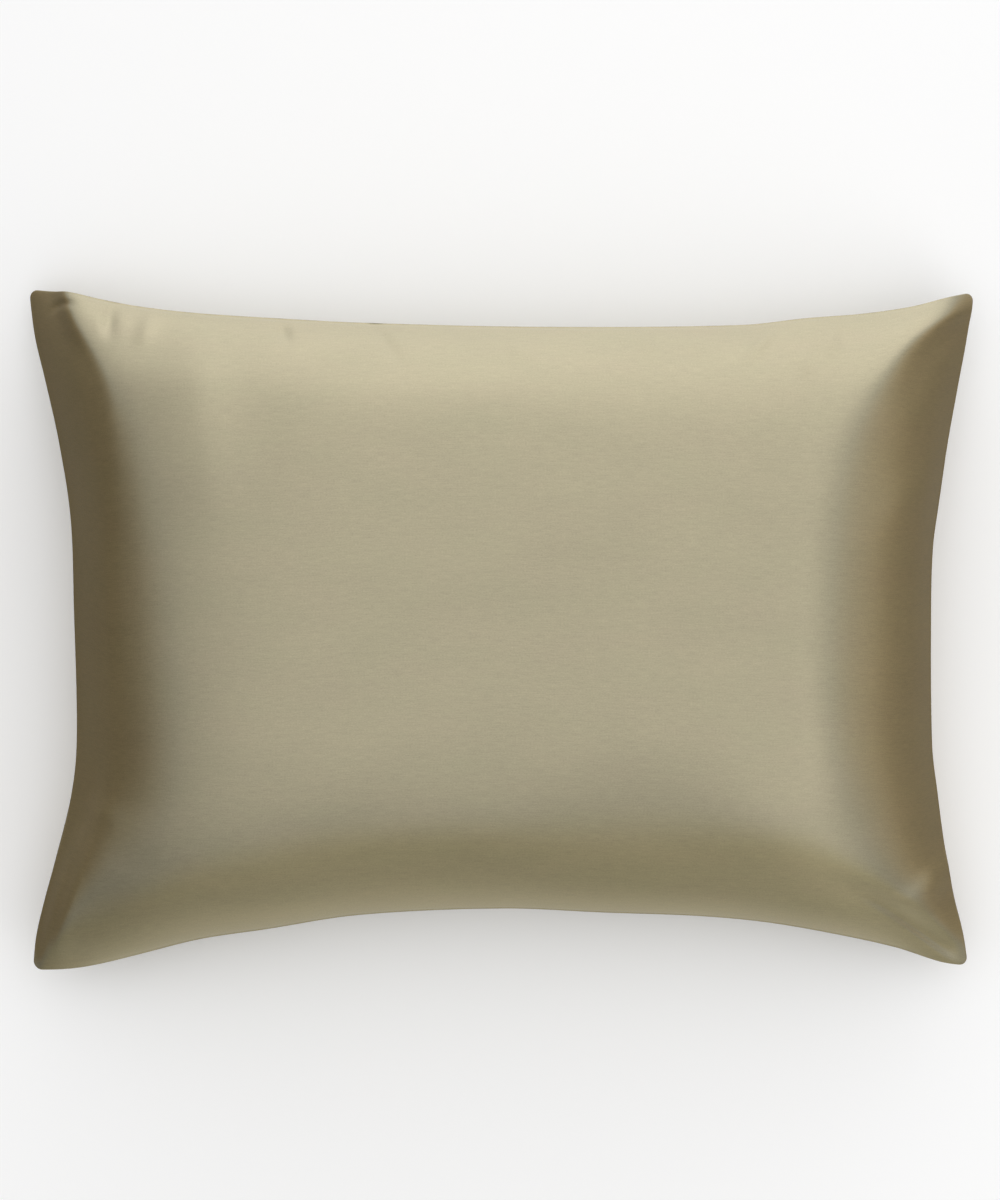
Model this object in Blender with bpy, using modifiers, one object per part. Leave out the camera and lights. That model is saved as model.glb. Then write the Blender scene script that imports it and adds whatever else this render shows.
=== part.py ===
"""A satin pillowcase on its pillow, lying on its back on a table.

One closed soft form: a crowned front, a back that is flat where it rests, and a thin sewn
edge that is drawn in between four corner ears. +X runs along the long side, +Y towards the
top edge and +Z up. The origin is on the table, under the middle of the case.
"""

from collections import namedtuple
import math

import bmesh
import bpy

MM = 0.001

# Driving sizes, in metres
CROWN_HEIGHT = 170 * MM  # highest point of the front over the table
EDGE_THICKNESS = 3 * MM  # the two cloths and their turned-in seam allowances
REST_MARGIN = 84 * MM  # from the edge in to where the back touches the table
LENGTH = 689 * MM  # between the ear tips, along X
WIDTH = 496 * MM  # between the ear tips, along Y

# How the front swells from each side to the middle: a higher roundness makes a flatter
# plateau, and a higher steepness a gentler rise at the edge
Side = namedtuple("Side", "roundness steepness")
LEFT = Side(4.8, 1.2)
RIGHT = Side(4.5, 1.0)
TOP = Side(3.1, 0.82)
BOTTOM = Side(3.4, 0.65)
STEEPNESS_AT_EARS = 1.0
EAR_POWER = 6  # how closely the ears' own steepness keeps to the ears

# The cage: squares along and across, and how far they crowd towards the edge
CELLS_ALONG = 32
CELLS_ACROSS = 24
EDGE_CROWDING = 0.5
CREST_STEPS = 4  # straight steps between two points of a fold's crest
CREST_BLEND = 18 * MM  # how far each step of a crest melts into the next

# The ear tips in plan, in mm from the middle
Tip = namedtuple("Tip", "x y")
TOP_LEFT = Tip(-348.0, 250.2)
TOP_RIGHT = Tip(346.9, 247.2)
BOTTOM_LEFT = Tip(-341.8, -248.5)
BOTTOM_RIGHT = Tip(342.0, -246.4)

# The sewn edge between two tips: the share of the way along, how far it is drawn in from
# the straight line between the tips, and its height over the table, both in mm
Row = namedtuple("Row", "along inset height")
TOP_EDGE = (  # left to right
    Row(0.00, 0.0, 14),
    Row(0.034, 4.1, 41),
    Row(0.05, 5.7, 50),
    Row(0.08, 10.5, 54),
    Row(0.12, 15.7, 58),
    Row(0.18, 20.7, 62),
    Row(0.27, 24.8, 65),
    Row(0.36, 27.9, 67),
    Row(0.54, 30.4, 69),
    Row(0.75, 28.3, 67),
    Row(0.82, 22.8, 64),
    Row(0.88, 19.0, 59),
    Row(0.93, 13.5, 53),
    Row(0.97, 5.7, 41),
    Row(1.00, 0.0, 22),
)
BOTTOM_EDGE = (  # left to right
    Row(0.00, 0.0, 37),
    Row(0.04, 1.3, 42),
    Row(0.07, 4.7, 46),
    Row(0.11, 11.5, 50),
    Row(0.18, 23.8, 56),
    Row(0.25, 31.2, 60),
    Row(0.35, 41.7, 63),
    Row(0.50, 46.2, 65),
    Row(0.61, 42.9, 64),
    Row(0.71, 40.0, 62),
    Row(0.78, 35.2, 59),
    Row(0.85, 26.6, 54),
    Row(0.92, 15.4, 47),
    Row(0.97, 3.8, 39),
    Row(1.00, 0.0, 31),
)
LEFT_EDGE = (  # bottom to top
    Row(0.00, 0.0, 37),
    Row(0.05, 3.6, 43),
    Row(0.10, 10.4, 49),
    Row(0.16, 19.5, 55),
    Row(0.26, 33.0, 62),
    Row(0.34, 37.6, 65),
    Row(0.53, 36.8, 66),
    Row(0.66, 34.7, 62),
    Row(0.77, 26.1, 55),
    Row(0.86, 15.3, 43),
    Row(0.93, 5.6, 27),
    Row(1.00, 0.0, 14),
)
RIGHT_EDGE = (  # bottom to top
    Row(0.00, 0.0, 31),
    Row(0.05, 5.4, 42),
    Row(0.11, 14.1, 51),
    Row(0.17, 20.7, 57),
    Row(0.26, 27.7, 62),
    Row(0.33, 32.3, 65),
    Row(0.53, 34.3, 67),
    Row(0.62, 33.2, 66),
    Row(0.68, 28.8, 60),
    Row(0.77, 21.6, 51),
    Row(0.86, 12.9, 43),
    Row(0.93, 5.9, 34),
    Row(1.00, 0.0, 22),
)

# The main folds of the front: the points that each crest runs through, in plan, its height
# over the even form there (below nought is a trough), and how wide the fold is on the left
# and on the right of its way, all in mm
Crest = namedtuple("Crest", "x y height left right")
TOP_LEFT_BEND = (  # turns the top left ear down
    Crest(-319, 268, 7, 20, 8),
    Crest(-316, 248, 9, 22, 8),
    Crest(-307, 226, 10, 26, 9),
    Crest(-292, 204, 9, 32, 11),
    Crest(-278, 178, 7, 36, 15),
    Crest(-270, 140, 5, 36, 19),
    Crest(-266, 95, 3, 32, 22),
    Crest(-264, 40, 0, 30, 22),
)
TOP_LEFT_SHOULDER = (  # a broad soft swell on the face beside that ear
    Crest(-228, 205, 0, 26, 38),
    Crest(-220, 178, 4, 26, 40),
    Crest(-214, 145, 5, 26, 40),
    Crest(-208, 108, 3, 26, 40),
    Crest(-203, 70, 0, 26, 40),
)
TOP_RIGHT_BEND = (  # turns the top right ear down and runs on along the right side
    Crest(354, 238, 3, 8, 14),
    Crest(346, 236, 8, 8, 14),
    Crest(328, 229, 12, 9, 16),
    Crest(307, 218, 13, 12, 18),
    Crest(287, 203, 12, 17, 24),
    Crest(260, 174, 8, 25, 32),
    Crest(241, 142, 6, 30, 28),
    Crest(229, 105, 5, 34, 25),
    Crest(221, 60, 5, 36, 25),
    Crest(219, 0, 5, 36, 25),
    Crest(220, -50, 5, 36, 25),
    Crest(226, -100, 3, 36, 28),
    Crest(240, -145, 0, 38, 30),
)
TOP_RIGHT_HOLLOW = (  # under that bend, in the ear
    Crest(350, 204, 0, 12, 12),
    Crest(334, 186, -1.5, 12, 14),
    Crest(322, 168, -2, 12, 15),
    Crest(312, 146, -1.5, 12, 15),
    Crest(304, 124, 0, 12, 15),
)
RIGHT_FLANK_FOLD = (  # a soft fold across the right side
    Crest(322, 118, 0, 12, 16),
    Crest(306, 104, 2, 12, 16),
    Crest(288, 90, 2, 12, 16),
    Crest(270, 78, 0, 12, 16),
)
BOTTOM_RIGHT_HUMP = (  # a short hump inside the bottom right ear
    Crest(342, -158, 0, 13, 11),
    Crest(328, -169, 5, 13, 11),
    Crest(310, -183, 6.5, 13, 11),
    Crest(292, -197, 0, 13, 11),
)
BOTTOM_RIGHT_TROUGH = (  # below that hump, out to the ear
    Crest(326, -235, -2, 14, 7),
    Crest(309, -221, -5, 16, 7),
    Crest(284, -204, -5, 18, 8),
    Crest(258, -189, -3.5, 18, 10),
    Crest(222, -172, 0, 18, 14),
)
BOTTOM_LEFT_BEND = (  # turns the bottom left ear down
    Crest(-332, -240, 7, 7, 16),
    Crest(-325, -214, 9, 8, 20),
    Crest(-316, -186, 9, 9, 24),
    Crest(-303, -158, 6, 10, 26),
    Crest(-286, -136, 3, 12, 26),
    Crest(-262, -112, 0, 14, 28),
)
LOWER_SAG = (  # a shallow dip in the face above the bottom edge
    Crest(-180, -176, 0, 20, 26),
    Crest(-102, -170, -1.5, 20, 28),
    Crest(0, -170, -2.5, 22, 28),
    Crest(70, -169, -4.5, 28, 28),
    Crest(130, -170, -5.5, 30, 26),
    Crest(180, -174, -5.5, 28, 24),
    Crest(215, -182, -5, 24, 22),
    Crest(243, -191, -2.5, 20, 18),
    Crest(265, -199, 0, 18, 16),
)
MIDDLE_SAG = (  # and a broader one above it
    Crest(-15, -130, 0, 36, 36),
    Crest(50, -133, -3, 36, 36),
    Crest(120, -133, -3, 36, 36),
    Crest(185, -130, 0, 36, 36),
)
FOLDS = (
    TOP_LEFT_BEND,
    TOP_LEFT_SHOULDER,
    TOP_RIGHT_BEND,
    TOP_RIGHT_HOLLOW,
    RIGHT_FLANK_FOLD,
    BOTTOM_RIGHT_HUMP,
    BOTTOM_RIGHT_TROUGH,
    BOTTOM_LEFT_BEND,
    LOWER_SAG,
    MIDDLE_SAG,
)

SATIN_COLOUR = (0.434, 0.386, 0.262, 1.0)
SATIN_ROUGHNESS = 0.38
SATIN_METALLIC = 0.0


def clear_scene():
    for old in list(bpy.data.objects):
        bpy.data.objects.remove(old, do_unlink=True)


def smooth_value(rows, column, along):
    """A column of an edge's rows, read at any share of the way on a smooth curve."""
    last = len(rows) - 1
    i = 0
    while i < last - 1 and rows[i + 1].along < along:
        i += 1

    def slope(k):
        before, after = rows[max(k - 1, 0)], rows[min(k + 1, last)]
        rise = getattr(after, column) - getattr(before, column)
        return rise / (after.along - before.along)

    start, end = rows[i], rows[i + 1]
    step = end.along - start.along
    t = (along - start.along) / step
    return (
        getattr(start, column) * (2 * t**3 - 3 * t**2 + 1)
        + slope(i) * step * (t**3 - 2 * t**2 + t)
        + getattr(end, column) * (3 * t**2 - 2 * t**3)
        + slope(i + 1) * step * (t**3 - t**2)
    )


def edge_point(rows, start, end, inward, along):
    """(x, y, height) of the sewn edge in metres, that share of the way between two tips."""
    run = (end.x - start.x, end.y - start.y)
    length = math.hypot(*run)
    inset = smooth_value(rows, "inset", along)
    x = start.x + run[0] * along - inward * inset * run[1] / length
    y = start.y + run[1] * along + inward * inset * run[0] / length
    return x * MM, y * MM, smooth_value(rows, "height", along) * MM


def between_edges(u, v):
    """(x, y, height) of the sheet that the four sewn edges span, at shares u and v."""
    bottom = edge_point(BOTTOM_EDGE, BOTTOM_LEFT, BOTTOM_RIGHT, 1, u)
    top = edge_point(TOP_EDGE, TOP_LEFT, TOP_RIGHT, -1, u)
    left = edge_point(LEFT_EDGE, BOTTOM_LEFT, TOP_LEFT, -1, v)
    right = edge_point(RIGHT_EDGE, BOTTOM_RIGHT, TOP_RIGHT, 1, v)
    tips = (
        (edge_point(BOTTOM_EDGE, BOTTOM_LEFT, BOTTOM_RIGHT, 1, 0), (1 - u) * (1 - v)),
        (edge_point(BOTTOM_EDGE, BOTTOM_LEFT, BOTTOM_RIGHT, 1, 1), u * (1 - v)),
        (edge_point(TOP_EDGE, TOP_LEFT, TOP_RIGHT, -1, 0), (1 - u) * v),
        (edge_point(TOP_EDGE, TOP_LEFT, TOP_RIGHT, -1, 1), u * v),
    )
    return tuple(
        (1 - v) * bottom[k]
        + v * top[k]
        + (1 - u) * left[k]
        + u * right[k]
        - sum(tip[k] * share for tip, share in tips)
        for k in range(3)
    )


def swelling(share, other, low_side, high_side):
    """0 at a side to 1 in the middle; other is the place along that side."""
    side = low_side if share < 0.5 else high_side
    ear = abs(2 * other - 1) ** EAR_POWER
    steepness = side.steepness + (STEEPNESS_AT_EARS - side.steepness) * ear
    from_middle = abs(2 * share - 1)
    return (1 - from_middle**side.roundness) ** steepness


def crest_line(fold):
    """The fold's crest as short straight steps through its own points, in metres."""
    last = len(fold) - 1
    line = []
    for i in range(last):
        before, after = fold[max(i - 1, 0)], fold[min(i + 2, last)]
        start, end = fold[i], fold[i + 1]
        for step in range(CREST_STEPS):
            t = step / CREST_STEPS
            line.append(
                Crest(
                    *(
                        start[k] * (2 * t**3 - 3 * t**2 + 1)
                        + (end[k] - before[k]) / 2 * (t**3 - 2 * t**2 + t)
                        + end[k] * (3 * t**2 - 2 * t**3)
                        + (after[k] - start[k]) / 2 * (t**3 - t**2)
                        for k in range(len(start))
                    )
                )
            )
    line.append(fold[last])
    return [Crest(*(value * MM for value in point)) for point in line]


CREST_LINES = tuple(crest_line(fold) for fold in FOLDS)


def fold_height(line, x, y):
    """How far a fold lifts the front at x, y: a sum of soft mounds, one for each step."""
    lift = 0
    for start, end in zip(line, line[1:]):
        run_x, run_y = end.x - start.x, end.y - start.y
        step = math.hypot(run_x, run_y)
        off_x, off_y = x - (start.x + end.x) / 2, y - (start.y + end.y) / 2
        forward = (off_x * run_x + off_y * run_y) / step
        leftward = (run_x * off_y - run_y * off_x) / step
        side = "left" if leftward > 0 else "right"
        width = (getattr(start, side) + getattr(end, side)) / 2
        share = step / (CREST_BLEND * math.sqrt(math.pi))
        mound = math.exp(-((forward / CREST_BLEND) ** 2) - (leftward / width) ** 2)
        lift += (start.height + end.height) / 2 * share * mound
    return lift


def folds_lift(x, y):
    return sum(fold_height(line, x, y) for line in CREST_LINES)


def front_point(u, v):
    x, y, edge_height = between_edges(u, v)
    swell = swelling(u, v, LEFT, RIGHT) * swelling(v, u, BOTTOM, TOP)
    height = edge_height + (CROWN_HEIGHT - edge_height) * swell + folds_lift(x, y)
    return x, y, height + EDGE_THICKNESS / 2 * (1 - swell)


def back_point(u, v):
    """The back falls from the edge in a quarter round and then lies flat on the table."""
    x, y, edge_height = between_edges(u, v)
    along = min(min(u, 1 - u) * LENGTH / REST_MARGIN, 1)
    across = min(min(v, 1 - v) * WIDTH / REST_MARGIN, 1)
    settled = math.sqrt((1 - (1 - along) ** 2) * (1 - (1 - across) ** 2))
    height = edge_height + folds_lift(x, y) - EDGE_THICKNESS / 2
    return x, y, height * (1 - settled)


def crowded(share):
    """Moves evenly spaced shares towards the edge, where the form turns quickest."""
    even_turn = (1 - math.cos(math.pi * share)) / 2
    return share + EDGE_CROWDING * (even_turn - share)


def make_cage():
    """A flat box cut into squares, with each point moved to its place on the case."""
    cage = bmesh.new()
    bmesh.ops.create_cube(cage, size=1.0)
    for axis, cells in ((0, CELLS_ALONG), (1, CELLS_ACROSS)):
        across_box = [
            edge
            for edge in cage.edges
            if abs(edge.verts[0].co[axis] - edge.verts[1].co[axis]) > 0.5
        ]
        bmesh.ops.subdivide_edges(
            cage, edges=across_box, cuts=cells - 1, use_grid_fill=True
        )
    for vert in cage.verts:
        u = crowded(vert.co.x + 0.5)
        v = crowded(vert.co.y + 0.5)
        place = front_point if vert.co.z > 0 else back_point
        vert.co = place(u, v)
    bmesh.ops.recalc_face_normals(cage, faces=cage.faces)
    mesh = bpy.data.meshes.new("pillowcase")
    cage.to_mesh(mesh)
    cage.free()
    mesh.shade_smooth()
    return mesh


def satin_material():
    satin = bpy.data.materials.new("champagne_satin")
    satin.use_nodes = True
    shader = satin.node_tree.nodes["Principled BSDF"]
    shader.inputs["Base Color"].default_value = SATIN_COLOUR
    shader.inputs["Roughness"].default_value = SATIN_ROUGHNESS
    shader.inputs["Metallic"].default_value = SATIN_METALLIC
    return satin


def make_pillowcase(collection):
    pillowcase = bpy.data.objects.new("pillowcase", make_cage())
    pillowcase.data.materials.append(satin_material())
    collection.objects.link(pillowcase)
    soften = pillowcase.modifiers.new("soft form", "SUBSURF")
    soften.levels = 1
    soften.render_levels = soften.levels


def main():
    clear_scene()
    collection = bpy.data.collections.new("pillowcase")
    bpy.context.scene.collection.children.link(collection)
    make_pillowcase(collection)


main()
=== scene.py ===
"""The looks of a satin pillowcase on its pillow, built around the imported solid.

The case is one closed sheet of satin on the solid's own form, at a finer grain: the crowned
front, the thin sewn edge with its puckers, and the back that lies flat on the table.
"""

from collections import namedtuple
import math

import bpy
import numpy as np
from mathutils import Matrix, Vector


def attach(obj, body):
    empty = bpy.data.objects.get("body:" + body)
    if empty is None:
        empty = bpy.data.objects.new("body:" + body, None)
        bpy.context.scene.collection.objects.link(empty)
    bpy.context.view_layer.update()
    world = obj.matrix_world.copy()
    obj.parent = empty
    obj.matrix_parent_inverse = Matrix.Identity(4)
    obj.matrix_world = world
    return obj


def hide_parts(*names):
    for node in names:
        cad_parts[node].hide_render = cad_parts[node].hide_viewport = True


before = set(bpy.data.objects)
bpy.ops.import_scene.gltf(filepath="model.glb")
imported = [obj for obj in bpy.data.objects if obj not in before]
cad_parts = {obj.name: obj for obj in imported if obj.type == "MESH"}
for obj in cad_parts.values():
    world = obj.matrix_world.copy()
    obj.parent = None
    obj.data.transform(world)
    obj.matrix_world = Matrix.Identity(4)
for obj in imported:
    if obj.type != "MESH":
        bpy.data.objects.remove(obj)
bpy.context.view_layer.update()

MM = 0.001

# The solid's driving sizes
CROWN_HEIGHT = 170 * MM
EDGE_THICKNESS = 3 * MM
REST_MARGIN = 84 * MM
LENGTH = 689 * MM
WIDTH = 496 * MM
STEEPNESS_AT_EARS = 1.0
EAR_POWER = 6

# How the front swells from each side to the middle
Side = namedtuple("Side", "roundness steepness")
LEFT = Side(4.8, 1.2)
RIGHT = Side(4.5, 1.0)
TOP = Side(3.1, 0.82)
BOTTOM = Side(3.4, 0.65)

CREST_STEPS = 4
CREST_BLEND = 18 * MM
CORNER_RADIUS = 7 * MM  # in plan, of each ear's tip

# The fine grid
CELLS_ALONG = 224
CELLS_ACROSS = 160
EDGE_CROWDING = 0.5

# The ear tips in plan, in mm from the middle, as measured in the photo
Tip = namedtuple("Tip", "x y")
TOP_LEFT = Tip(-348.0, 250.2)
TOP_RIGHT = Tip(346.9, 247.2)
BOTTOM_LEFT = Tip(-341.8, -248.5)
BOTTOM_RIGHT = Tip(342.0, -246.4)

# The sewn edge between two tips: the share of the way along, how far it is drawn in from
# the straight line between the tips, and its height over the table, both in mm. The insets
# are a program's measure of the photo's outline and not chosen sizes; the heights are chosen.
Row = namedtuple("Row", "along inset height")
TOP_EDGE = (  # left to right
    Row(0.00, 0.0, 14),
    Row(0.034, 4.1, 41),
    Row(0.05, 5.7, 50),
    Row(0.08, 10.5, 54),
    Row(0.12, 15.7, 58),
    Row(0.18, 20.7, 62),
    Row(0.27, 24.8, 65),
    Row(0.36, 27.9, 67),
    Row(0.54, 30.4, 69),
    Row(0.75, 28.3, 67),
    Row(0.82, 22.8, 64),
    Row(0.88, 19.0, 59),
    Row(0.93, 13.5, 53),
    Row(0.97, 5.7, 41),
    Row(1.00, 0.0, 22),
)
BOTTOM_EDGE = (  # left to right
    Row(0.00, 0.0, 37),
    Row(0.04, 1.3, 42),
    Row(0.07, 4.7, 46),
    Row(0.11, 11.5, 50),
    Row(0.18, 23.8, 56),
    Row(0.25, 31.2, 60),
    Row(0.35, 41.7, 63),
    Row(0.50, 46.2, 65),
    Row(0.61, 42.9, 64),
    Row(0.71, 40.0, 62),
    Row(0.78, 35.2, 59),
    Row(0.85, 26.6, 54),
    Row(0.92, 15.4, 47),
    Row(0.97, 3.8, 39),
    Row(1.00, 0.0, 31),
)
LEFT_EDGE = (  # bottom to top
    Row(0.00, 0.0, 37),
    Row(0.05, 3.6, 43),
    Row(0.10, 10.4, 49),
    Row(0.16, 19.5, 55),
    Row(0.26, 33.0, 62),
    Row(0.34, 37.6, 65),
    Row(0.53, 36.8, 66),
    Row(0.66, 34.7, 62),
    Row(0.77, 26.1, 55),
    Row(0.86, 15.3, 43),
    Row(0.93, 5.6, 27),
    Row(1.00, 0.0, 14),
)
RIGHT_EDGE = (  # bottom to top
    Row(0.00, 0.0, 31),
    Row(0.05, 5.4, 42),
    Row(0.11, 14.1, 51),
    Row(0.17, 20.7, 57),
    Row(0.26, 27.7, 62),
    Row(0.33, 32.3, 65),
    Row(0.53, 34.3, 67),
    Row(0.62, 33.2, 66),
    Row(0.68, 28.8, 60),
    Row(0.77, 21.6, 51),
    Row(0.86, 12.9, 43),
    Row(0.93, 5.9, 34),
    Row(1.00, 0.0, 22),
)

# The main folds of the front: the points that each crest runs through, in plan, its height
# over the even form there (below nought is a trough), and how wide the fold is on the left
# and on the right of its way, all in mm
Crest = namedtuple("Crest", "x y height left right")
TOP_LEFT_BEND = (  # turns the top left ear down
    Crest(-319, 268, 7, 20, 8),
    Crest(-316, 248, 9, 22, 8),
    Crest(-307, 226, 10, 26, 9),
    Crest(-292, 204, 9, 32, 11),
    Crest(-278, 178, 7, 36, 15),
    Crest(-270, 140, 5, 36, 19),
    Crest(-266, 95, 3, 32, 22),
    Crest(-264, 40, 0, 30, 22),
)
TOP_LEFT_SHOULDER = (  # a broad soft swell on the face beside that ear
    Crest(-228, 205, 0, 26, 38),
    Crest(-220, 178, 4, 26, 40),
    Crest(-214, 145, 5, 26, 40),
    Crest(-208, 108, 3, 26, 40),
    Crest(-203, 70, 0, 26, 40),
)
TOP_RIGHT_BEND = (  # turns the top right ear down and runs on along the right side
    Crest(354, 238, 3, 8, 14),
    Crest(346, 236, 8, 8, 14),
    Crest(328, 229, 12, 9, 16),
    Crest(307, 218, 13, 12, 18),
    Crest(287, 203, 12, 17, 24),
    Crest(260, 174, 8, 25, 32),
    Crest(241, 142, 6, 30, 28),
    Crest(229, 105, 5, 34, 25),
    Crest(221, 60, 5, 36, 25),
    Crest(219, 0, 5, 36, 25),
    Crest(220, -50, 5, 36, 25),
    Crest(226, -100, 3, 36, 28),
    Crest(240, -145, 0, 38, 30),
)
TOP_RIGHT_HOLLOW = (  # under that bend, in the ear
    Crest(350, 204, 0, 12, 12),
    Crest(334, 186, -1.5, 12, 14),
    Crest(322, 168, -2, 12, 15),
    Crest(312, 146, -1.5, 12, 15),
    Crest(304, 124, 0, 12, 15),
)
RIGHT_FLANK_FOLD = (  # a soft fold across the right side
    Crest(322, 118, 0, 12, 16),
    Crest(306, 104, 2, 12, 16),
    Crest(288, 90, 2, 12, 16),
    Crest(270, 78, 0, 12, 16),
)
BOTTOM_RIGHT_HUMP = (  # a short hump inside the bottom right ear
    Crest(342, -158, 0, 13, 11),
    Crest(328, -169, 5, 13, 11),
    Crest(310, -183, 6.5, 13, 11),
    Crest(292, -197, 0, 13, 11),
)
BOTTOM_RIGHT_TROUGH = (  # below that hump, out to the ear
    Crest(326, -235, -2, 14, 7),
    Crest(309, -221, -5, 16, 7),
    Crest(284, -204, -5, 18, 8),
    Crest(258, -189, -3.5, 18, 10),
    Crest(222, -172, 0, 18, 14),
)
BOTTOM_LEFT_BEND = (  # turns the bottom left ear down
    Crest(-332, -240, 7, 7, 16),
    Crest(-325, -214, 9, 8, 20),
    Crest(-316, -186, 9, 9, 24),
    Crest(-303, -158, 6, 10, 26),
    Crest(-286, -136, 3, 12, 26),
    Crest(-262, -112, 0, 14, 28),
)
LOWER_SAG = (  # a shallow dip in the face above the bottom edge
    Crest(-180, -176, 0, 20, 26),
    Crest(-102, -170, -1.5, 20, 28),
    Crest(0, -170, -2.5, 22, 28),
    Crest(70, -169, -4.5, 28, 28),
    Crest(130, -170, -5.5, 30, 26),
    Crest(180, -174, -5.5, 28, 24),
    Crest(215, -182, -5, 24, 22),
    Crest(243, -191, -2.5, 20, 18),
    Crest(265, -199, 0, 18, 16),
)
MIDDLE_SAG = (  # and a broader one above it
    Crest(-15, -130, 0, 36, 36),
    Crest(50, -133, -3, 36, 36),
    Crest(120, -133, -3, 36, 36),
    Crest(185, -130, 0, 36, 36),
)
FOLDS = (
    TOP_LEFT_BEND,
    TOP_LEFT_SHOULDER,
    TOP_RIGHT_BEND,
    TOP_RIGHT_HOLLOW,
    RIGHT_FLANK_FOLD,
    BOTTOM_RIGHT_HUMP,
    BOTTOM_RIGHT_TROUGH,
    BOTTOM_LEFT_BEND,
    LOWER_SAG,
    MIDDLE_SAG,
)

# Fine folds of the cloth alone, in the same columns
FINE_BLEND = 6 * MM
TOP_PUCKERS = (
    (Crest(-282, 233, -2.0, 5, 5), Crest(-281, 219, -3.6, 5, 5), Crest(-279, 206, 0, 6, 6)),
    (Crest(-252, 228, 1.6, 6, 6), Crest(-254, 214, 2.4, 6, 6), Crest(-256, 202, 0, 7, 7)),
    (Crest(-159, 219, -1.0, 4, 4), Crest(-156, 213, -6.0, 4, 4), Crest(-153, 206, 0, 4, 4)),
    (Crest(-92, 222, -1.6, 4, 4), Crest(-83, 206, -2.4, 4, 4), Crest(-68, 184, 0, 5, 6)),
    (Crest(8, 208, 0, 5, 5), Crest(11, 200, 2.2, 5, 5), Crest(14, 191, 0, 6, 6)),
    (Crest(102, 216, 1.2, 4, 4), Crest(103, 206, 2.4, 5, 5), Crest(104, 196, 0, 6, 6)),
    (Crest(137, 212, 0, 4, 4), Crest(138, 203, 2.2, 4, 4), Crest(139, 194, 0, 5, 5)),
    (Crest(194, 214, 2.0, 4, 4), Crest(184, 203, 3.6, 4, 4), Crest(174, 192, 0, 5, 5)),
    (Crest(216, 198, 0, 4, 4), Crest(217, 190, 2.4, 4, 4), Crest(218, 180, 0, 5, 5)),
    (Crest(236, 214, 1.2, 4, 4), Crest(235, 204, 2.4, 5, 5), Crest(233, 194, 0, 6, 6)),
)
EAR_PINCH = (  # a thin crease round the top left ear
    Crest(-329, 231, 0, 3, 3),
    Crest(-322, 235, -2.6, 3, 3),
    Crest(-315, 236, -3.0, 3, 3),
    Crest(-308, 235, 0, 3, 3),
)
BOTTOM_RIGHT_CREASE = (  # the sharp bottom of that ear's trough
    Crest(330, -238, -1.5, 3, 7),
    Crest(315, -227, -3, 3, 8),
    Crest(293, -211, -3.2, 3, 8),
    Crest(273, -197, -2.2, 3.5, 8),
    Crest(248, -183, 0, 5, 8),
)
BOTTOM_LEFT_DENT = (  # a shallow dent down the bottom left ear
    Crest(-288, -84, 0, 6, 9),
    Crest(-291, -106, -1.2, 6, 9),
    Crest(-300, -132, -1.4, 6, 9),
    Crest(-309, -160, -1.2, 5, 9),
    Crest(-323, -200, 0, 5, 9),
)
BOTTOM_LEFT_LIP = (  # a soft edge on the inner side of that ear's bend
    Crest(-322, -238, 0, 7, 28),
    Crest(-316, -216, 4, 7, 30),
    Crest(-305, -190, 4.5, 7, 30),
    Crest(-295, -164, 3, 7, 30),
    Crest(-283, -140, 1.5, 8, 30),
    Crest(-270, -112, 0, 8, 30),
)
LOWER_LEFT_RIDGE = (
    Crest(-300, -125, 0, 8, 8),
    Crest(-285, -129, 1.5, 8, 8),
    Crest(-268, -133, 0, 8, 8),
)
FINE_FOLDS = TOP_PUCKERS + (
    EAR_PINCH,
    BOTTOM_RIGHT_CREASE,
    BOTTOM_LEFT_DENT,
    BOTTOM_LEFT_LIP,
    LOWER_LEFT_RIDGE,
)

# Across the sewn edge, from the front to the back: how far out and up each line of points
# lies from the seam, in mm. The stitches pull the seam in between two soft lips.
RIM = ((0.5, 1.1), (0.35, 0.45), (-0.7, 0.0), (0.35, -0.45), (0.5, -1.1))

# The satin: a strong gloss that spreads across the fine floating threads. The base colour,
# the metallic share and the IOR were fitted to the photo by a program.
SATIN_BASE = (0.37, 0.328, 0.21)
SHADE_TINT_NEAR = (0.4, 0.34, 0.178)  # painted shade: a warmer tint where it turns down to the near edge
SHADE_TINT_ENDS = (0.44, 0.335, 0.16)  # painted shade: a warmer tint where it turns to the left and right ends
NEAR_SHADE_TURN = (0.3, 0.6)  # the share of the turn at which each painted shade tint sets in and is full
ENDS_SHADE_TURN = (0.4, 0.72)
HUE_COOL = (0.975, 1.0, 0.98)  # slow drifts in its hue
HUE_WARM = (1.025, 1.0, 1.02)
FLOAT_LENGTH = 1.6 * MM  # how far a thread floats over the others
FLOAT_PITCH = 0.2 * MM
FLOAT_GAP = 0.05 * MM  # between two floats
FLOAT_STAGGER = 0.4  # of a float's length, from one row to the next
LOWEST_FLOAT = 0.8  # its height against that of the highest
RELIEF_DEPTH = 0.04 * MM
SATIN_METALLIC = 0.7
SATIN_IOR = 2.5
SATIN_ROUGHNESS = 0.45
SATIN_ANISOTROPY = 0.7
SHEEN_TURN = 0.25  # of a full turn, so that the sheen spreads across the threads

# Its grain, as soft noise: how long a streak is along the threads and how high across them,
# in mm, how many octaves finer the noise goes, and a shift that sets each kind apart
Grain = namedtuple("Grain", "length height detail shift")
GRAINS = {
    "threads": Grain(9.0, 0.9, 2.0, 0.0),  # the fine cross lines
    "specks": Grain(1.3, 0.6, 2.0, 3.1),
    "streaks": Grain(45.0, 4.0, 2.0, 5.7),
    "clouds": Grain(90.0, 45.0, 1.0, 8.3),
    "warmth": Grain(60.0, 30.0, 6.0, 1.9),  # the drifts of hue
}
GRAIN_ROUGHNESS = 0.6  # how strong each finer octave is against the last
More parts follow.
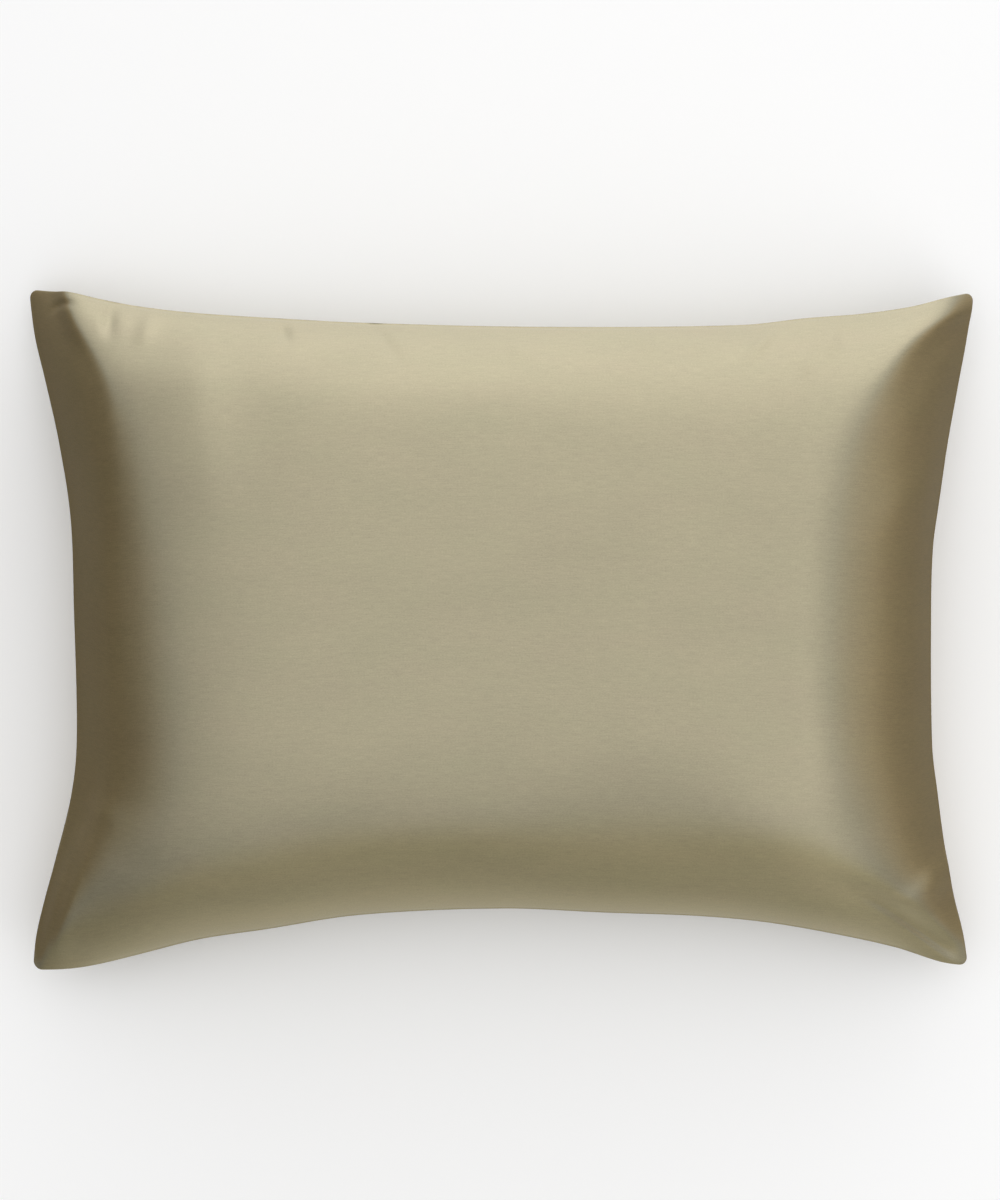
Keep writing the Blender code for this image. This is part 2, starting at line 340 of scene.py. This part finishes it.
# How much each kind weighs in the cloth's light and dark, its roughness and its relief
SHADE_WEIGHTS = {"threads": 0.28, "specks": 0.42, "streaks": 0.1, "clouds": 0.09}
ROUGHNESS_WEIGHTS = {"threads": 0.06, "streaks": 0.05}
RELIEF_WEIGHTS = {"threads": 1.0, "specks": 0.6, "floats": 0.25}

# The studio's surround: how bright it is towards each way, over and under the table's
# level. Each glow fades with a power of the cosine from its middle. The strengths were fitted
# to the photo by a program and then changed.
Glow = namedtuple("Glow", "level x y z power strength")
SURROUND = (
    Glow("over", 0.0, 0.0, 1.0, 2, 1.34),  # a wide soft ceiling
    Glow("over", 0.0, 1.0, 0.0, 2, 1.02),  # a bright wall beyond the top edge
    Glow("over", 1.0, 0.0, 0.0, 2, 0.6),  # a dimmer one on the right
    Glow("under", 0.0, 0.94, -0.34, 4, 2.15),  # a white board lying beyond the top edge
    Glow("under", 0.0, -0.7, -0.7, 4, 1.1),  # and one below the bottom edge
    Glow("under", 0.94, -0.34, 0.0, 2, 0.18),  # faint light along the table from the right
    Glow("under", -0.94, -0.34, 0.0, 2, 0.06),  # and from the left
)

# Soft boxes on a dome round the case: compass angle from +X and angle over the table in
# degrees, and watts, which were fitted and then changed too
Box = namedtuple("Box", "name azimuth elevation power")
SOFT_BOXES = (
    Box("far_low", 90, 14, 2.2),
    Box("far_right_low", 60, 14, 2.8),
    Box("left", 180, 38, 1.3),
    Box("near_right", 315, 38, 2.8),
)
BOX_SIZE = 0.9  # metres along each side
BOX_DISTANCE = 1.8  # metres from the case's middle

# The pale paper under the case
FLOOR_REACH = 3.0  # metres from the middle to each side
FLOOR_GAP = 0.5 * MM  # left under the case
FLOOR_WHITE = (0.97, 0.97, 0.97)
FLOOR_ROUGHNESS = 0.9

# Camera: straight above the middle of the photo
PHOTO_PIXELS = (1000, 1200)
MM_PER_PIXEL = 0.725
MIDDLE_PIXEL = (501.0, 629.5)  # the photo's pixel over the case's middle
SEAM_PLANE = 60 * MM
CAMERA_RISE = 2.4  # metres over the seam plane
SENSOR = 36.0  # mm, along the photo's long side
FARTHEST_SEEN = 100  # metres


def smooth_values(rows, column, along):
    """A column of an edge's rows, read at an array of shares on a smooth curve."""
    at = np.array([row.along for row in rows])
    value = np.array([getattr(row, column) for row in rows], float)
    before = np.maximum(np.arange(len(at)) - 1, 0)
    after = np.minimum(np.arange(len(at)) + 1, len(at) - 1)
    slope = (value[after] - value[before]) / (at[after] - at[before])
    i = np.clip(np.searchsorted(at, along, side="right") - 1, 0, len(at) - 2)
    step = at[i + 1] - at[i]
    t = (along - at[i]) / step
    return (
        value[i] * (2 * t**3 - 3 * t**2 + 1)
        + slope[i] * step * (t**3 - 2 * t**2 + t)
        + value[i + 1] * (3 * t**2 - 2 * t**3)
        + slope[i + 1] * step * (t**3 - t**2)
    )


def edge_points(rows, start, end, inward, along):
    """x, y and height of the sewn edge in metres, stacked on the last axis."""
    run_x, run_y = end.x - start.x, end.y - start.y
    length = math.hypot(run_x, run_y)
    inset = smooth_values(rows, "inset", along)
    x = start.x + run_x * along - inward * inset * run_y / length
    y = start.y + run_y * along + inward * inset * run_x / length
    return np.stack([x, y, smooth_values(rows, "height", along)], -1) * MM


def between_edges(u, v):
    """The sheet that the four sewn edges span, at arrays of shares u and v."""
    bottom = edge_points(BOTTOM_EDGE, BOTTOM_LEFT, BOTTOM_RIGHT, 1, u)
    top = edge_points(TOP_EDGE, TOP_LEFT, TOP_RIGHT, -1, u)
    left = edge_points(LEFT_EDGE, BOTTOM_LEFT, TOP_LEFT, -1, v)
    right = edge_points(RIGHT_EDGE, BOTTOM_RIGHT, TOP_RIGHT, 1, v)
    nought, one = np.zeros(1), np.ones(1)
    u, v = u[..., None], v[..., None]
    tips = (
        edge_points(BOTTOM_EDGE, BOTTOM_LEFT, BOTTOM_RIGHT, 1, nought) * (1 - u) * (1 - v)
        + edge_points(BOTTOM_EDGE, BOTTOM_LEFT, BOTTOM_RIGHT, 1, one) * u * (1 - v)
        + edge_points(TOP_EDGE, TOP_LEFT, TOP_RIGHT, -1, nought) * (1 - u) * v
        + edge_points(TOP_EDGE, TOP_LEFT, TOP_RIGHT, -1, one) * u * v
    )
    return (1 - v) * bottom + v * top + (1 - u) * left + u * right - tips


def swelling(share, other, low_side, high_side):
    """0 at a side to 1 in the middle; other is the place along that side."""
    roundness = np.where(share < 0.5, low_side.roundness, high_side.roundness)
    at_sides = np.where(share < 0.5, low_side.steepness, high_side.steepness)
    ear = np.abs(2 * other - 1) ** EAR_POWER
    steepness = at_sides + (STEEPNESS_AT_EARS - at_sides) * ear
    from_middle = np.abs(2 * share - 1)
    return (1 - from_middle**roundness) ** steepness


def crest_line(points):
    """A fold's crest as short straight steps through its own points, in metres."""
    last = len(points) - 1
    line = []
    for i in range(last):
        before, after = points[max(i - 1, 0)], points[min(i + 2, last)]
        start, end = points[i], points[i + 1]
        for step in range(CREST_STEPS):
            t = step / CREST_STEPS
            line.append(
                tuple(
                    start[k] * (2 * t**3 - 3 * t**2 + 1)
                    + (end[k] - before[k]) / 2 * (t**3 - 2 * t**2 + t)
                    + end[k] * (3 * t**2 - 2 * t**3)
                    + (after[k] - start[k]) / 2 * (t**3 - t**2)
                    for k in range(len(start))
                )
            )
    return np.array(line + [tuple(points[last])], float) * MM


def fold_height(fold, x, y, blend=CREST_BLEND):
    """How far the fold lifts the cloth at arrays x, y, in metres: a sum of soft mounds, one
    for each step of its crest."""
    line = crest_line(fold)
    lift = np.zeros(x.shape)
    for start, end in zip(line, line[1:]):
        run_x, run_y = end[0] - start[0], end[1] - start[1]
        step = math.hypot(run_x, run_y)
        middle = (start + end) / 2
        off_x, off_y = x - middle[0], y - middle[1]
        forward = (off_x * run_x + off_y * run_y) / step
        leftward = (run_x * off_y - run_y * off_x) / step
        width = np.where(leftward > 0, middle[3], middle[4])
        share = step / (blend * math.sqrt(math.pi))
        mound = np.exp(-((forward / blend) ** 2) - (leftward / width) ** 2)
        lift += middle[2] * share * mound
    return lift


def rounded_sheet(u, v):
    """The sheet between the sewn edges with a quarter round at each tip: a square turned
    into a disc, but only within the four corner squares."""
    to_corner = []
    for share, length in ((u, LENGTH), (v, WIDTH)):
        inside = np.minimum(share, 1 - share) * length
        to_corner.append(np.clip(1 - inside / CORNER_RADIUS, 0, 1))
    s, t = to_corner
    moved = []
    for share, length, own, other in ((u, LENGTH, s, t), (v, WIDTH, t, s)):
        round_in = (own - own * np.sqrt(1 - other**2 / 2)) * CORNER_RADIUS / length
        moved.append(share + np.where(share < 0.5, round_in, -round_in))
    return between_edges(*moved)


def main_lift(sheet):
    """How far the main folds lift each point of a sheet, its sewn edges too."""
    return sum(fold_height(fold, sheet[..., 0], sheet[..., 1]) for fold in FOLDS)


def seam_points(u, v):
    sheet = rounded_sheet(u, v)
    sheet[..., 2] += main_lift(sheet)
    return sheet


def front_points(u, v):
    sheet = rounded_sheet(u, v)
    swell = swelling(u, v, LEFT, RIGHT) * swelling(v, u, BOTTOM, TOP)
    height = sheet[..., 2] + (CROWN_HEIGHT - sheet[..., 2]) * swell + main_lift(sheet)
    height = height + sum(
        fold_height(fold, sheet[..., 0], sheet[..., 1], FINE_BLEND) for fold in FINE_FOLDS
    )
    sheet[..., 2] = height + EDGE_THICKNESS / 2 * (1 - swell)
    return sheet


def back_points(u, v):
    """The back falls from the edge in a quarter round and then lies flat on the table."""
    sheet = seam_points(u, v)
    along = np.minimum(np.minimum(u, 1 - u) * LENGTH / REST_MARGIN, 1)
    across = np.minimum(np.minimum(v, 1 - v) * WIDTH / REST_MARGIN, 1)
    settled = np.sqrt((1 - (1 - along) ** 2) * (1 - (1 - across) ** 2))
    sheet[..., 2] = (sheet[..., 2] - EDGE_THICKNESS / 2) * (1 - settled)
    return sheet


def crowded(cells):
    """Shares from 0 to 1, closer together towards the edge."""
    share = np.linspace(0, 1, cells + 1)
    even_turn = (1 - np.cos(np.pi * share)) / 2
    return share + EDGE_CROWDING * (even_turn - share)


def cloth_lengths(points):
    """Metres of cloth from the middle of the grid, along and across."""
    rows = np.linalg.norm(np.diff(points, axis=0), axis=-1)
    columns = np.linalg.norm(np.diff(points, axis=1), axis=-1)
    along = np.concatenate([np.zeros((1, points.shape[1])), np.cumsum(rows, 0)])
    across = np.concatenate([np.zeros((points.shape[0], 1)), np.cumsum(columns, 1)], 1)
    along -= along[-1:] / 2
    across -= across[:, -1:] / 2
    return np.stack([along, across], -1)


def border(cells_along, cells_across):
    """Grid places round the edge, anticlockwise from the bottom left tip."""
    return (
        [(i, 0) for i in range(cells_along)]
        + [(cells_along, j) for j in range(cells_across)]
        + [(i, cells_across) for i in range(cells_along, 0, -1)]
        + [(0, j) for j in range(cells_across, 0, -1)]
    )


def make_case():
    u, v = np.meshgrid(crowded(CELLS_ALONG), crowded(CELLS_ACROSS), indexing="ij")
    front, back = front_points(u, v), back_points(u, v)
    seam = seam_points(u, v)
    ring = border(CELLS_ALONG, CELLS_ACROSS)
    ring_i, ring_j = np.array(ring).T
    seam_ring = seam[ring_i, ring_j]
    run = np.roll(seam_ring, -1, 0) - np.roll(seam_ring, 1, 0)
    outward = np.stack([run[:, 1], -run[:, 0], np.zeros(len(run))], -1)
    outward /= np.linalg.norm(outward, axis=-1, keepdims=True)
    up = np.array([0.0, 0.0, 1.0])
    rim = [seam_ring + outward * out * MM + up * rise * MM for out, rise in RIM]

    rows, columns = u.shape
    count = rows * columns
    points = np.concatenate([front.reshape(-1, 3), back.reshape(-1, 3), *rim])
    uv_front, uv_back = cloth_lengths(front), cloth_lengths(back)
    uv_back[..., 1] += 1.0
    uv_rim = [uv_front[ring_i, ring_j] for _ in RIM]
    uvs = np.concatenate([uv_front.reshape(-1, 2), uv_back.reshape(-1, 2), *uv_rim])

    i, j = np.meshgrid(np.arange(rows - 1), np.arange(columns - 1), indexing="ij")
    a = (i * columns + j).reshape(-1)
    b, c, d = a + columns, a + columns + 1, a + 1
    faces = [np.stack([a, b, c, d], -1), np.stack([a, d, c, b], -1) + count]
    lines = [ring_i * columns + ring_j]
    for k in range(len(RIM)):
        lines.append(2 * count + k * len(ring) + np.arange(len(ring)))
    lines.append(count + ring_i * columns + ring_j)
    for above, below in zip(lines, lines[1:]):
        faces.append(
            np.stack([above, below, np.roll(below, -1), np.roll(above, -1)], -1)
        )
    mesh = bpy.data.meshes.new("satin_case")
    mesh.from_pydata(points.tolist(), [], np.concatenate(faces).tolist())
    layer = mesh.uv_layers.new(name="cloth")
    corners = np.zeros(len(mesh.loops), np.int32)
    mesh.loops.foreach_get("vertex_index", corners)
    layer.data.foreach_set("uv", uvs[corners].astype(np.float32).reshape(-1))
    mesh.shade_smooth()
    mesh.update()
    case = bpy.data.objects.new("satin_case", mesh)
    bpy.context.scene.collection.objects.link(case)
    return case


def add_node(tree, kind, values=None, **settings):
    """A node with its settings, its unlinked inputs and its links: a value that is itself
    an output socket is linked."""
    node = tree.nodes.new(kind)
    for name, value in settings.items():
        setattr(node, name, value)
    for name, value in (values or {}).items():
        if isinstance(value, bpy.types.NodeSocket):
            tree.links.new(value, node.inputs[name])
        else:
            node.inputs[name].default_value = value
    return node


def math_node(tree, operation, *values):
    return add_node(
        tree, "ShaderNodeMath", dict(enumerate(values)), operation=operation
    ).outputs[0]


def mixed_colour(tree, share, low, high):
    """The low colour at a share of 0 and the high one at 1."""
    sockets = {0: share, 6: low, 7: high}  # by number, because several have the same name
    return add_node(tree, "ShaderNodeMix", sockets, data_type="RGBA").outputs[2]


def grain(tree, cloth, kind):
    """Noise from 0 to 1 in soft streaks of that kind's size."""
    scale = (1 / (kind.length * MM), 1 / (kind.height * MM), 1.0)
    shift = (kind.shift, kind.shift, 0)
    place = add_node(
        tree, "ShaderNodeMapping", {"Vector": cloth, "Scale": scale, "Location": shift}
    )
    noise = add_node(
        tree,
        "ShaderNodeTexNoise",
        {
            "Vector": place.outputs[0],
            "Scale": 1.0,
            "Detail": kind.detail,
            "Roughness": GRAIN_ROUGHNESS,
        },
        noise_dimensions="2D",
    )
    return noise.outputs["Fac"]


def weighed(tree, values, weights):
    """The sum of the named values, each taken about its middle and times its own weight."""
    total = 0.0
    for name, weight in weights.items():
        off = math_node(tree, "SUBTRACT", values[name], 0.5)
        total = math_node(tree, "MULTIPLY_ADD", off, weight, total)
    return total


def satin_material():
    satin = bpy.data.materials.new("case_satin")
    satin.use_nodes = True
    tree = satin.node_tree
    shader = tree.nodes["Principled BSDF"]
    cloth = add_node(tree, "ShaderNodeUVMap", uv_map="cloth").outputs["UV"]
    grains = {name: grain(tree, cloth, kind) for name, kind in GRAINS.items()}

    # Painted shade: a warmer tint where the cloth turns down to the near edge and, most of all,
    # towards its ends, standing in for the look of its sides turned away from the light
    normal = add_node(tree, "ShaderNodeNewGeometry").outputs["Normal"]
    endwise, farwards, _ = add_node(tree, "ShaderNodeSeparateXYZ", {"Vector": normal}).outputs
    base = SATIN_BASE + (1.0,)
    for slope, (least, most), colour in (
        (math_node(tree, "MULTIPLY", farwards, -1.0), NEAR_SHADE_TURN, SHADE_TINT_NEAR),
        (math_node(tree, "ABSOLUTE", endwise), ENDS_SHADE_TURN, SHADE_TINT_ENDS),
    ):
        turned = add_node(
            tree,
            "ShaderNodeMapRange",
            {"Value": slope, "From Min": least, "From Max": most, "To Min": 0.0, "To Max": 1.0},
            interpolation_type="SMOOTHSTEP",
        ).outputs[0]
        base = mixed_colour(tree, turned, base, colour + (1.0,))
    hue = mixed_colour(tree, grains["warmth"], HUE_COOL + (1.0,), HUE_WARM + (1.0,))
    tinted = add_node(
        tree, "ShaderNodeVectorMath", {0: base, 1: hue}, operation="MULTIPLY"
    ).outputs[0]
    light_and_dark = weighed(tree, grains, SHADE_WEIGHTS)
    varied = add_node(
        tree,
        "ShaderNodeVectorMath",
        {0: tinted, "Scale": math_node(tree, "ADD", light_and_dark, 1.0)},
        operation="SCALE",
    ).outputs[0]
    tree.links.new(varied, shader.inputs["Base Color"])

    roughness = math_node(
        tree, "ADD", weighed(tree, grains, ROUGHNESS_WEIGHTS), SATIN_ROUGHNESS
    )
    tree.links.new(roughness, shader.inputs["Roughness"])

    # The threads in relief, floats lying along the case in staggered rows
    floats = add_node(
        tree,
        "ShaderNodeTexBrick",
        {
            "Vector": cloth,
            "Color1": (1, 1, 1, 1),
            "Color2": (LOWEST_FLOAT, LOWEST_FLOAT, LOWEST_FLOAT, 1),
            "Mortar": (0, 0, 0, 1),
            "Scale": 1.0,
            "Mortar Size": FLOAT_GAP,
            "Mortar Smooth": 1.0,
            "Brick Width": FLOAT_LENGTH,
            "Row Height": FLOAT_PITCH,
        },
        offset=FLOAT_STAGGER,
    ).outputs["Color"]
    relief = weighed(tree, {**grains, "floats": floats}, RELIEF_WEIGHTS)
    bump = add_node(
        tree,
        "ShaderNodeBump",
        {"Height": relief, "Distance": RELIEF_DEPTH, "Strength": 1.0},
    )
    tree.links.new(bump.outputs["Normal"], shader.inputs["Normal"])

    shader.inputs["Metallic"].default_value = SATIN_METALLIC
    shader.inputs["IOR"].default_value = SATIN_IOR
    shader.inputs["Anisotropic"].default_value = SATIN_ANISOTROPY
    shader.inputs["Anisotropic Rotation"].default_value = SHEEN_TURN
    tangent = add_node(tree, "ShaderNodeTangent", direction_type="UV_MAP", uv_map="cloth")
    tree.links.new(tangent.outputs["Tangent"], shader.inputs["Tangent"])
    return satin


def make_camera():
    data = bpy.data.cameras.new("camera")
    camera = bpy.data.objects.new("camera", data)
    bpy.context.scene.collection.objects.link(camera)
    middle_x, middle_y = PHOTO_PIXELS[0] / 2, PHOTO_PIXELS[1] / 2
    camera.location = (
        (middle_x - MIDDLE_PIXEL[0]) * MM_PER_PIXEL * MM,
        (MIDDLE_PIXEL[1] - middle_y) * MM_PER_PIXEL * MM,
        SEAM_PLANE + CAMERA_RISE,
    )
    data.sensor_width = SENSOR
    data.lens = SENSOR * CAMERA_RISE / (PHOTO_PIXELS[1] * MM_PER_PIXEL * MM)
    data.clip_end = FARTHEST_SEEN
    bpy.context.scene.camera = camera


def make_soft_box(box):
    """A square soft light on a dome round the case, aimed at its middle."""
    data = bpy.data.lights.new(box.name, "AREA")
    data.shape = "SQUARE"
    data.size = BOX_SIZE
    data.energy = box.power
    light = bpy.data.objects.new(box.name, data)
    bpy.context.scene.collection.objects.link(light)
    a, e = math.radians(box.azimuth), math.radians(box.elevation)
    towards = Vector((math.cos(a) * math.cos(e), math.sin(a) * math.cos(e), math.sin(e)))
    light.location = towards * BOX_DISTANCE
    light.rotation_mode = "QUATERNION"
    light.rotation_quaternion = towards.to_track_quat("Z", "Y")


def make_floor():
    reach = FLOOR_REACH
    mesh = bpy.data.meshes.new("floor")
    mesh.from_pydata(
        [(-reach, -reach, 0), (reach, -reach, 0), (reach, reach, 0), (-reach, reach, 0)],
        [],
        [(0, 1, 2, 3)],
    )
    floor = bpy.data.objects.new("floor", mesh)
    floor.location.z = -FLOOR_GAP
    bpy.context.scene.collection.objects.link(floor)
    paper = bpy.data.materials.new("floor_paper")
    paper.use_nodes = True
    shader = paper.node_tree.nodes["Principled BSDF"]
    shader.inputs["Base Color"].default_value = FLOOR_WHITE + (1.0,)
    shader.inputs["Roughness"].default_value = FLOOR_ROUGHNESS
    mesh.materials.append(paper)
    # The surround stands in for what the white table throws back
    floor.visible_diffuse = False
    floor.visible_glossy = False
    floor.visible_shadow = False


def make_world():
    world = bpy.data.worlds.new("studio")
    world.use_nodes = True
    tree = world.node_tree
    way = add_node(tree, "ShaderNodeTexCoord").outputs["Generated"]
    height = add_node(tree, "ShaderNodeSeparateXYZ", {"Vector": way}).outputs["Z"]
    level = {
        "over": math_node(tree, "GREATER_THAN", height, 0.0),
        "under": math_node(tree, "LESS_THAN", height, 0.0),
    }
    total = 0.0
    for glow in SURROUND:
        middle = (glow.x, glow.y, glow.z)
        towards = add_node(
            tree, "ShaderNodeVectorMath", {0: way, 1: middle}, operation="DOT_PRODUCT"
        )
        facing = math_node(tree, "MAXIMUM", towards.outputs["Value"], 0.0)
        faded = math_node(tree, "POWER", facing, glow.power)
        spread = math_node(tree, "MULTIPLY", faded, glow.strength)
        total = math_node(tree, "MULTIPLY_ADD", spread, level[glow.level], total)
    background = tree.nodes["Background"]
    background.inputs["Color"].default_value = (1, 1, 1, 1)
    tree.links.new(total, background.inputs["Strength"])
    bpy.context.scene.world = world


case = make_case()
case.data.materials.append(satin_material())
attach(case, "root")
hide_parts("pillowcase")

make_floor()
make_world()
make_camera()
for box in SOFT_BOXES:
    make_soft_box(box)
bpy.context.scene.view_settings.view_transform = "Standard"
